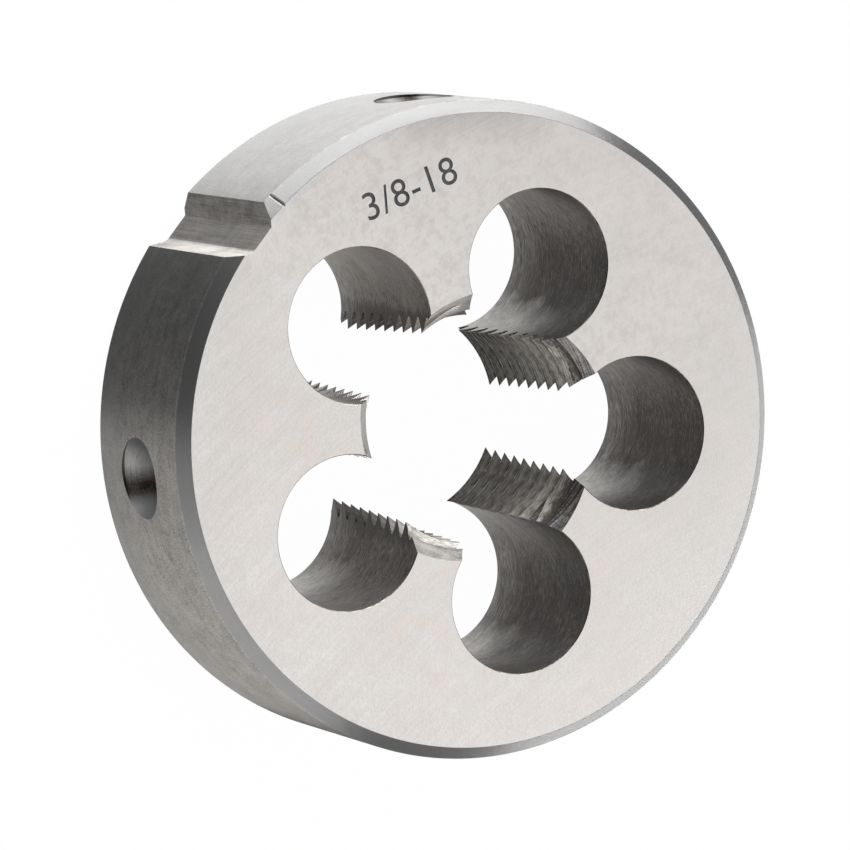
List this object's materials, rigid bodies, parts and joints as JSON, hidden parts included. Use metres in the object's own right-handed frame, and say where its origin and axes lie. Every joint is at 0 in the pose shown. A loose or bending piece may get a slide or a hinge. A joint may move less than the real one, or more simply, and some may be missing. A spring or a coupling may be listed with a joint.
{
  "type": "round threading die",
  "caption": "Round steel threading die: a thick chamfered disc whose tapered internal thread is split into cutting lands by clearance holes, with a notch and screw dimples in its rim.",
  "frame": {"origin": "on the disc's axis, in the plane of its back face, on which it lies", "axes": "+Z along the disc's axis, from the back face to the lead-in face where the work enters; +Y through the notch in the rim"},
  "size_m": [0.045, 0.0449, 0.014],
  "materials": {
    "die_steel": "hardened tool steel, faces ground, rim and holes turned and drilled, slightly dark inside"
  },
  "bodies": {
    "root": {"die_body": "die_steel"}
  },
  "joints": []
}
